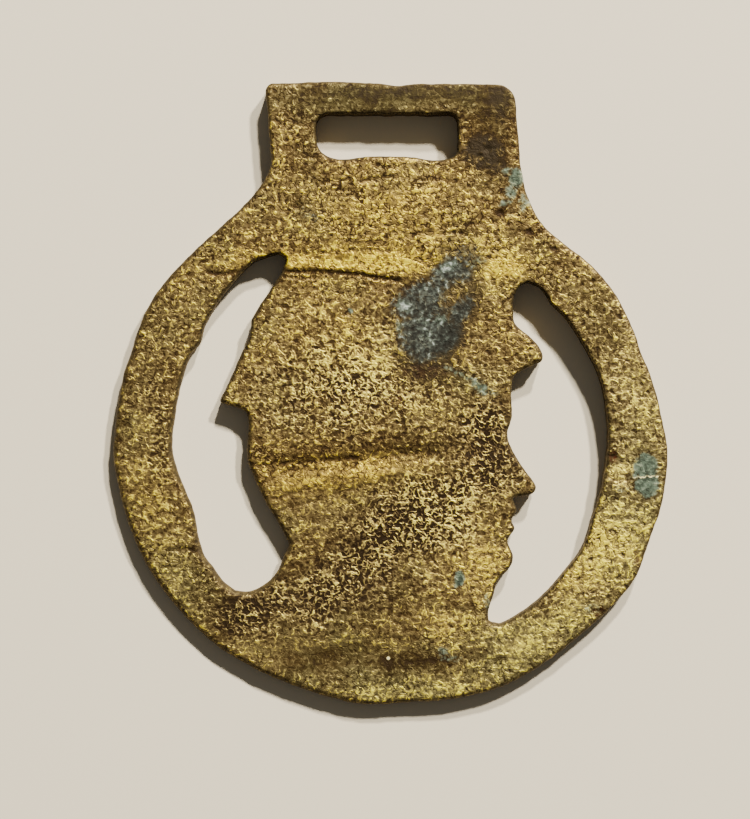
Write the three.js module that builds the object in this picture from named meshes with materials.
// Horse brass: a harness ornament cast in one piece, lying on its front face
// with its rough, unfinished back uppermost. Millimetres, +Z up.
//
// A round frame carries a strap hanger at +Y. Two crescent openings leave the
// silhouette of a head in a brimmed hat standing between them, joined to the
// frame at crown and collar. The front, underneath, carries the low relief of
// the same head; the frame's front face is flat at z = 0.
//
// The outlines are worked out about the frame's centre; the finished part is
// then moved so that its origin is the middle of its underside.

import * as THREE from "three";

// ---------------------------------------------------------------- sizes (mm)

// Round frame: mean radii, and how far the hand-cut pattern was out of round,
// as [waves per turn, cosine part, sine part].
const FRAME_R = 38.48;
const FRAME_WAVES = [
  [2, 0.3, -0.36],
  [3, -0.16, -0.44],
  [4, -0.09, -0.23],
  [5, 0.09, -0.25],
];
const BORE_R = 30.7;
const BORE_WAVES = [
  [1, -0.22, -0.34],
  [2, -0.16, -0.1],
  [3, 0.57, -0.16],
  [4, -0.22, -0.18],
  [5, -0.21, 0.23],
  [6, 0.26, 0.08],
];
// Swells and worn flats on the two edges: [at degrees, half width, radius].
const FRAME_SWELLS = [
  [-4, 6, 0.3],
  [19, 5, -0.25],
  [-21, 5, -0.3],
  [-31, 4, 0.3],
  [-46, 5, -0.25],
  [-66, 8, 0.42],
  [-85, 5, -0.3],
  [-98, 5, 0.25],
  [-128, 11, 0.27],
  [-176, 6, 0.35],
  [162, 4, -0.2],
];
const BORE_SWELLS = [
  [-30, 6, 0.45],
  [14, 9, 0.25],
  [39, 3, -0.35],
  [153.5, 3, -0.6],
  [183, 6, 0.45],
  [199, 5, -0.5],
  [212, 5, 0.6],
];

// Strap hanger above the frame, and the flares that join the two.
const HANGER_TOP = [49.8, 49.5]; // y at the left corner and at the right
const HANGER_WAVES = [ // along the top: at x, half width, rise
  [-8, 4.5, 0.3],
  [1.1, 1.7, -0.24],
  [9, 5, 0.1],
];
const HANGER_FOOT = 38.5;
const HANGER_LEFT = [-17.5, -16.65]; // x at the top and at the foot
const HANGER_RIGHT = [17.7, 18.35];
const HANGER_CORNER = [1.1, 2.6]; // outer corner radii, left and right
const FLARE_LEFT = { from: 150, bend: [-27.9, 27.9], rise: [-18.3, 32.2] };
const FLARE_RIGHT = { from: 31.2, bend: [25.9, 29.1], rise: [20.0, 26.0] };

// Strap slot.
const SLOT = { x0: -10.2, x1: 9.6, y0: 39.3, y1: 45.4 };
const SLOT_CORNERS = [2.2, 1.1, 1.3, 1.7]; // lower left, lower right, upper right, upper left
const SLOT_SAGS = [ // in the lower edge: at x, half width, drop
  [-6.4, 1.9, 0.42],
  [6.3, 2.5, 0.55],
];
const SLOT_LEAN = 0.3; // how far the left end leans out towards the top

// Thickness of the plate: at the frame's centre, and how it grows per mm.
const PLATE = 3.05;
const PLATE_SLOPE = [0.012, 0.016];
const EDGE_BACK = 0.5; // chamfer standing for the rounded edge of the back
const EDGE_FRONT = 0.4; // and of the front

// Head and hat, as seen on the back: +X is the side the head faces.
const BRIM = { back: [-23.9, 4.95], peak: [21.45, 11.35], sag: 1.6, half: 1.35 };
const CROWN_TOP = 27.3;
const BAND = [1.6, 5.2]; // hat band, from and to above the brim's middle line
const EYE_LINE = 0.4; // halfway down the head
const BROW = 2.6;
const NOSE_BASE = -8.5; // a third of the face below the brow
const CHIN_BASE = -19.6; // and another third to the chin
const PROFILE_X = 16.7; // the vertical the features stand out from
const NOSE_OUT = 3.9;
const LIP_OUT = 1.15;
const CHIN_OUT = 0.7;

// Mesh spacing.
const STEP_OUTER = 1.7;
const STEP_OPENING = 1.1;
const STEP_BACK = 2.2;
const STEP_FRONT = 2.6;
const STEP_RELIEF = 1.4;

// ------------------------------------------------------------------ outlines

const rad = THREE.MathUtils.degToRad;
const V = (x, y) => new THREE.Vector2(x, y);

// A point on a circle that is a little out of round.
function aroundCentre(radius, waves, swells, degrees) {
  const a = rad(degrees);
  let r = radius;
  for (const [k, c, s] of waves) r += c * Math.cos(k * a) + s * Math.sin(k * a);
  for (const [at, half, rise] of swells) {
    const off = THREE.MathUtils.euclideanModulo(degrees - at + 180, 360) - 180;
    r += rise * Math.exp(-((off / half) ** 2));
  }
  return V(r * Math.cos(a), r * Math.sin(a));
}
const frameAt = (deg) => aroundCentre(FRAME_R, FRAME_WAVES, FRAME_SWELLS, deg);
const boreAt = (deg) => aroundCentre(BORE_R, BORE_WAVES, BORE_SWELLS, deg);

// An arc from one angle to another as points about 2 degrees apart.
function sweep(at, from, to) {
  const n = Math.max(2, Math.round(Math.abs(to - from) / 2));
  return Array.from({ length: n + 1 }, (_, i) => at(from + ((to - from) * i) / n));
}

// A smooth line through named points.
const through = (points) =>
  new THREE.SplineCurve(points.map(([x, y]) => V(x, y))).getPoints(points.length * 8);

// The sum of some swells at x.
const waves = (list, x) =>
  list.reduce((sum, [at, half, rise]) => sum + rise * Math.exp(-(((x - at) / half) ** 2)), 0);

// The frame and its hanger, anticlockwise.
function outerOutline() {
  const path = new THREE.Path();
  const ring = sweep(frameAt, FLARE_LEFT.from, 360 + FLARE_RIGHT.from);
  path.setFromPoints(ring);
  path.bezierCurveTo(
    ...FLARE_RIGHT.bend,
    ...FLARE_RIGHT.rise,
    HANGER_RIGHT[1],
    HANGER_FOOT,
  );
  const [rl, rr] = HANGER_CORNER;
  const [yl, yr] = HANGER_TOP;
  path.lineTo(HANGER_RIGHT[0], yr - rr);
  path.absarc(HANGER_RIGHT[0] - rr, yr - rr, rr, 0, rad(90), false);
  const [from, to] = [HANGER_RIGHT[0] - rr, HANGER_LEFT[0] + rl];
  for (let i = 1; i <= 40; i++) {
    const t = i / 40;
    const x = from + (to - from) * t;
    path.lineTo(x, yr + (yl - yr) * t + waves(HANGER_WAVES, x) * Math.sin(Math.PI * t) ** 0.5);
  }
  path.absarc(HANGER_LEFT[0] + rl, yl - rl, rl, rad(90), rad(180), false);
  path.lineTo(HANGER_LEFT[1], HANGER_FOOT);
  path.bezierCurveTo(
    ...FLARE_LEFT.rise,
    ...FLARE_LEFT.bend,
    ring[0].x,
    ring[0].y,
  );
  return path.getPoints(10);
}

// The strap slot, a rectangle with four round corners, sagging along its lower
// edge and leaning out at its left end.
function slotOutline() {
  const { x0, x1, y0, y1 } = SLOT;
  const [ll, lr, ur, ul] = SLOT_CORNERS;
  const path = new THREE.Path();
  path.moveTo(x0 + ll, y0);
  for (let i = 1; i <= 30; i++) path.lineTo(x0 + ll + ((x1 - lr - x0 - ll) * i) / 30, y0);
  path.absarc(x1 - lr, y0 + lr, lr, rad(-90), 0, false);
  path.lineTo(x1, y1 - ur);
  path.absarc(x1 - ur, y1 - ur, ur, 0, rad(90), false);
  path.lineTo(x0 + ul, y1);
  path.absarc(x0 + ul, y1 - ul, ul, rad(90), rad(180), false);
  path.lineTo(x0, y0 + ll);
  path.absarc(x0 + ll, y0 + ll, ll, rad(180), rad(270), false);
  const height = y1 - y0;
  return path.getPoints(10).map((p) => {
    const low = THREE.MathUtils.clamp(1 - (2 * (p.y - y0)) / height, 0, 1);
    const left = THREE.MathUtils.clamp(-p.x / 5 - 1, 0, 1);
    return V(
      p.x - (SLOT_LEAN * left * (p.y - y0)) / height,
      p.y - waves(SLOT_SAGS, p.x) * low,
    );
  });
}

// The opening behind the head: hat, nape and collar on one side, the frame's
// bore on the other.
function openingBehind() {
  const hatAndNape = through([
    [-21.9, -21.85], // foot of the opening
    [-20.2, -22.05],
    [-18.4, -21.4],
    [-16.8, -20.2], // top of the shoulder
    [-15.6, -18.5],
    [-14.9, -16.7],
    [-14.3, -15.2], // nape meets the collar
    [-15.3, -13.0],
    [-17.1, -10.0],
    [-18.8, -6.6],
    [-20.1, -3.4], // back of the head
    [-20.1, -0.6],
    [-19.95, 1.7],
    [-20.5, 3.6],
    [BRIM.back[0] + 1.0, BRIM.back[1] - 0.5],
    BRIM.back,
    [BRIM.back[0] + 0.5, BRIM.back[1] + 1.3],
    [-22.4, 8.5], // side of the crown
    [-21.0, 11.5],
    [-19.85, 14.2],
    [-19.4, 16.6],
    [-18.0, 19.0],
    [-16.3, 21.5],
    [-15.1, 23.5],
    [-14.8, 25.0], // top of the opening
    [-15.9, 25.75],
    [-17.6, 25.2],
  ]);
  const bore = sweep(boreAt, 127.5, 221);
  return [...hatAndNape, ...bore];
}

// The profile of the face, from under the peak of the hat down to the throat,
// laid out on thirds of the face.
function faceProfile() {
  const x = PROFILE_X;
  const third = BROW - NOSE_BASE;
  return [
    [x + 0.55, BROW + 0.48 * third], // forehead, under the hat
    [x + 0.45, BROW + 0.2 * third],
    [x + 0.5, BROW], // brow
    [x - 0.15, EYE_LINE - 0.1], // root of the nose
    [x + 0.9, EYE_LINE - 2.9],
    [x + 0.62 * NOSE_OUT, NOSE_BASE + 3.6],
    [x + NOSE_OUT, NOSE_BASE + 1.35], // tip
    [x + 0.78 * NOSE_OUT, NOSE_BASE + 0.25],
    [x + 0.75, NOSE_BASE - 0.1], // base
    [x + LIP_OUT, NOSE_BASE - 0.17 * third], // upper lip
    [x + 0.45, NOSE_BASE - 0.3 * third], // mouth
    [x + 0.8 * LIP_OUT, NOSE_BASE - 0.41 * third], // lower lip
    [x - 0.05, NOSE_BASE - 0.56 * third],
    [x + CHIN_OUT, NOSE_BASE - 0.76 * third], // chin
    [x + 0.1, NOSE_BASE - 0.92 * third],
    [x - 1.5, CHIN_BASE - 0.9], // under the chin
  ];
}

// The opening in front of the head: hat, face and throat on one side, the
// frame's bore on the other.
function openingBefore() {
  const figure = through([
    [19.6, 21.7], // top of the opening
    [18.3, 21.2],
    [17.5, 19.7],
    [17.4, 17.6], // front of the crown
    [17.6, 15.9],
    [18.9, 14.7],
    [20.3, 13.5],
    [BRIM.peak[0] - 0.15, BRIM.peak[1] + 0.75],
    [BRIM.peak[0] - 0.05, BRIM.peak[1] - 0.7],
    [20.2, 10.0], // under the peak
    [18.5, 9.2],
    ...faceProfile(),
    [14.55, -22.6], // throat
    [13.85, -24.6],
    [14.1, -26.1], // foot of the opening
    [15.5, -26.5],
  ]);
  const bore = sweep(boreAt, -57, 45);
  return [...figure, ...bore];
}

// The same closed line with its points evenly spaced. `pinned` puts a vertex
// at the start, so that straight stretches keep their ends.
function evenly(points, step) {
  const loop = points.filter(
    (p, i) => p.distanceTo(points[(i + points.length - 1) % points.length]) > 1e-6,
  );
  const at = [0];
  loop.forEach((p, i) => at.push(at[i] + p.distanceTo(loop[(i + 1) % loop.length])));
  const length = at[loop.length];
  const n = Math.round(length / step);
  const out = [];
  for (let i = 0, j = 0; i < n; i++) {
    const s = (i / n) * length;
    while (at[j + 1] < s) j++;
    const t = (s - at[j]) / (at[j + 1] - at[j]);
    out.push(loop[j].clone().lerp(loop[(j + 1) % loop.length], t));
  }
  return out;
}

// ------------------------------------------------------------------- relief

const { smoothstep, clamp } = THREE.MathUtils;
const hump = (u) => Math.exp(-u * u);

// Height of the back above z = 0: a rough plate, a little thicker towards the
// hanger, with the swells and folds the metal froze into.
function backHeight(x, y) {
  let z = PLATE + PLATE_SLOPE[0] * x + PLATE_SLOPE[1] * y;
  // fold across the middle: sunk above the line, raised below it
  const fold = y - (-3.9 + 0.1 * x);
  const across = hump((x + 4) / 17);
  z += across * (0.22 * hump((fold + 1.3) / 1.5) - 0.26 * hump((fold - 1.1) / 1.3));
  // cold shut below the hanger
  const shut = y - (23.3 - 0.06 * (x + 15));
  z += 0.12 * hump((x + 6) / 13) * (smoothstep(shut, -0.6, 0.6) - 0.5);
  // sunk patches over the collar and near the foot
  z -= 0.24 * hump((x + 6) / 15) * hump((y + 17 - 0.35 * x) / 6);
  z -= 0.3 * hump((x + 6) / 9.5) * hump((y + 30.8) / 1.9);
  z -= 0.18 * hump((x - 13) / 5) * hump((y - 0.5) / 4.5);
  // swells of the shoulder plate and the head
  z += 0.2 * hump((x - 2) / 14) * hump((y - 32) / 5.5);
  z += 0.18 * hump((x + 5) / 10) * hump((y - 13) / 7);
  // the hanger's top bar thins towards its upper edge
  z -= 0.4 * clamp((y - 45) / 5, 0, 1) ** 2;
  return z;
}

// Middle line of the brim, and height above it.
function overBrim(x, y) {
  const t = (x - BRIM.back[0]) / (BRIM.peak[0] - BRIM.back[0]);
  const line =
    BRIM.back[1] +
    t * (BRIM.peak[1] - BRIM.back[1]) -
    BRIM.sag * Math.sin(Math.PI * clamp(t, 0, 1));
  return y - line;
}

// How deep the front lies below its flat face: 0 on the frame and the hanger,
// more inside the bore, where the head's relief stands on a sunk ground.
function frontDepth(x, y) {
  const over = overBrim(x, y);
  const ground = 1.0;
  // crown of the hat, a low dome with a band above the brim
  const crownTop = CROWN_TOP - 0.0115 * (x + 1) ** 2;
  let hat = 0.8 - 0.5 * hump((x + 1) / 14) * hump((y - 15.5) / 9);
  hat -= 0.15 * (smoothstep(over, BAND[0], BAND[0] + 0.5) - smoothstep(over, BAND[1] - 0.5, BAND[1]));
  hat = THREE.MathUtils.lerp(hat, ground, smoothstep(y - crownTop, -0.5, 0.5));
  // the head swells towards the cheek, and the neck is set back under the jaw
  let head = 0.9 - 0.65 * hump((x - 4) / 15) * hump((y + 5) / 12);
  const jaw = -19.4 + 0.7 * Math.max(0, 11 - x);
  head += 0.3 * smoothstep(jaw - y, 0, 1.6) * smoothstep(x, -8, -2);
  // collar and coat, closed by the frame below
  const collar = y + 15.6 + 0.31 * (x + 14.3);
  head = THREE.MathUtils.lerp(0.3, head, smoothstep(collar, -0.5, 0.5));
  const depth = THREE.MathUtils.lerp(head, hat, smoothstep(over, -0.3, 0.3));
  // the brim stands out over both
  const brim =
    (1 - smoothstep(Math.abs(over), BRIM.half - 0.3, BRIM.half + 0.4)) *
    smoothstep(x, -24.5, -23) *
    (1 - smoothstep(x, 21, 22.5));
  const sunk = 1 - smoothstep(Math.hypot(x, y), 29.6, 30.5);
  return sunk * THREE.MathUtils.lerp(depth, 0.12, brim);
}

// -------------------------------------------------------------------- solid

// Delaunay triangles over a set of points, as triples of indices.
function delaunay(points) {
  const far = 1e4;
  const all = [...points, V(-far, -far), V(far, -far), V(0, far)];
  const n = points.length;
  const circle = (a, b, c) => {
    const [A, B, C] = [all[a], all[b], all[c]];
    const d = 2 * (A.x * (B.y - C.y) + B.x * (C.y - A.y) + C.x * (A.y - B.y));
    const [qa, qb, qc] = [A.lengthSq(), B.lengthSq(), C.lengthSq()];
    const x = (qa * (B.y - C.y) + qb * (C.y - A.y) + qc * (A.y - B.y)) / d;
    const y = (qa * (C.x - B.x) + qb * (A.x - C.x) + qc * (B.x - A.x)) / d;
    return { a, b, c, x, y, r: (A.x - x) ** 2 + (A.y - y) ** 2 };
  };
  let open = [circle(n, n + 1, n + 2)];
  const closed = [];
  const order = points.map((_, i) => i).sort((i, j) => points[i].x - points[j].x);
  for (const i of order) {
    const p = points[i];
    const edges = new Map();
    const next = [];
    for (const t of open) {
      const dx = p.x - t.x;
      if (dx > 0 && dx * dx > t.r) {
        closed.push(t);
        continue;
      }
      if (dx * dx + (p.y - t.y) ** 2 > t.r - 1e-9) {
        next.push(t);
        continue;
      }
      for (const [u, v] of [[t.a, t.b], [t.b, t.c], [t.c, t.a]]) {
        const back = v * all.length + u;
        if (edges.has(back)) edges.delete(back);
        else edges.set(u * all.length + v, [u, v]);
      }
    }
    for (const [u, v] of edges.values()) next.push(circle(u, v, i));
    open = next;
  }
  return [...closed, ...open]
    .filter((t) => t.a < n && t.b < n && t.c < n)
    .map((t) => [t.a, t.b, t.c]);
}

// Whether a point lies inside a closed line.
function inside(x, y, loop) {
  let odd = false;
  for (let i = 0, j = loop.length - 1; i < loop.length; j = i++) {
    const [a, b] = [loop[i], loop[j]];
    if (a.y > y !== b.y > y && x < ((b.x - a.x) * (y - a.y)) / (b.y - a.y) + a.x)
      odd = !odd;
  }
  return odd;
}

// Distance from a point to the nearest edge of any loop.
function toEdge(x, y, loops) {
  let least = Infinity;
  for (const loop of loops)
    for (let i = 0, j = loop.length - 1; i < loop.length; j = i++) {
      const [a, b] = [loop[j], loop[i]];
      const [ex, ey] = [b.x - a.x, b.y - a.y];
      const t = clamp(((x - a.x) * ex + (y - a.y) * ey) / (ex * ex + ey * ey), 0, 1);
      least = Math.min(least, Math.hypot(x - a.x - t * ex, y - a.y - t * ey));
    }
  return least;
}

const outer = evenly(outerOutline(), STEP_OUTER);
const holes = [
  evenly(slotOutline(), STEP_OPENING),
  evenly(openingBehind(), STEP_OPENING),
  evenly(openingBefore(), STEP_OPENING),
];
const loops = [outer, ...holes];
const rim = loops.flat();
const inPlate = (x, y) => inside(x, y, outer) && !holes.some((h) => inside(x, y, h));

// A loop moved into the metal by a distance.
function inset(loop, by) {
  const area = THREE.ShapeUtils.area(loop);
  const sign = (loop === outer ? 1 : -1) * Math.sign(area);
  return loop.map((p, i) => {
    const a = loop[(i + loop.length - 1) % loop.length];
    const b = loop[(i + 1) % loop.length];
    const along = V(b.x - a.x, b.y - a.y).normalize();
    return V(p.x - sign * along.y * by, p.y + sign * along.x * by);
  });
}

// One face of the plate as points and triangles. The first points are the rim,
// then the line where the edge's chamfer ends, then a lattice of the spacing
// that spacing(x, y) asks for.
function face(edge, lattices) {
  const points = [...rim];
  const clear = (x, y, gap) =>
    inPlate(x, y) &&
    toEdge(x, y, loops) > gap;
  for (const loop of loops)
    for (const p of inset(loop, edge))
      if (clear(p.x, p.y, 0.8 * edge)) points.push(p);
  for (const { step, where } of lattices) {
    const row = step * Math.sqrt(0.75);
    for (let j = Math.floor(-42 / row); j * row < 52; j++)
      for (let i = Math.floor(-42 / step); i * step < 42; i++) {
        const x = (i + (j & 1) / 2) * step + 0.013 * Math.sin(7 * j);
        const y = j * row + 0.013 * Math.sin(5 * i);
        if (where(x, y) && clear(x, y, edge + 0.5 * step)) points.push(V(x, y));
      }
  }
  const triangles = delaunay(points).filter(([a, b, c]) =>
    inPlate(
      (points[a].x + points[b].x + points[c].x) / 3,
      (points[a].y + points[b].y + points[c].y) / 3,
    ),
  );
  return { points, triangles };
}

const inHead = (x, y) => Math.abs(x) < 24 && y > -27 && y < 27.5 && Math.hypot(x, y) < 31;
const everywhere = () => true;
const back = face(EDGE_BACK, [{ step: STEP_BACK, where: everywhere }]);
const front = face(EDGE_FRONT, [
  { step: STEP_RELIEF, where: inHead },
  { step: STEP_FRONT, where: (x, y) => !inHead(x, y) },
]);

// Both faces and the wall between their rims, as one closed surface.
const position = [];
const index = [];
back.points.forEach((p, i) => {
  const onRim = i < rim.length;
  position.push(p.x, p.y, backHeight(p.x, p.y) - (onRim ? EDGE_BACK : 0));
});
const under = back.points.length;
front.points.forEach((p, i) => {
  const onRim = i < rim.length;
  position.push(p.x, p.y, frontDepth(p.x, p.y) + (onRim ? EDGE_FRONT : 0));
});
for (const [a, b, c] of back.triangles) index.push(a, b, c);
for (const [a, b, c] of front.triangles) index.push(under + a, under + c, under + b);
let first = 0;
for (const loop of loops) {
  const flip = loop === outer ? THREE.ShapeUtils.area(loop) > 0 : THREE.ShapeUtils.area(loop) < 0;
  for (let i = 0; i < loop.length; i++) {
    let [a, b] = [first + i, first + ((i + 1) % loop.length)];
    if (!flip) [a, b] = [b, a];
    index.push(a, under + a, under + b, a, under + b, b);
  }
  first += loop.length;
}

const geometry = new THREE.BufferGeometry()
  .setAttribute("position", new THREE.Float32BufferAttribute(position, 3))
  .setIndex(index);
geometry.computeBoundingBox();
const box = geometry.boundingBox;
geometry.translate(
  -(box.min.x + box.max.x) / 2,
  -(box.min.y + box.max.y) / 2,
  -box.min.z,
);
geometry.computeVertexNormals();

// Old cast brass: dull gold with brown in its hollows.
const castBrass = new THREE.MeshStandardMaterial({
  color: new THREE.Color(0.55, 0.42, 0.17),
  roughness: 0.48,
  metalness: 0.9,
});

const plate = new THREE.Mesh(geometry, castBrass);
plate.name = "horse_brass";

const horseBrass = new THREE.Group();
horseBrass.name = "horse_brass_group";
horseBrass.add(plate);

export default horseBrass;
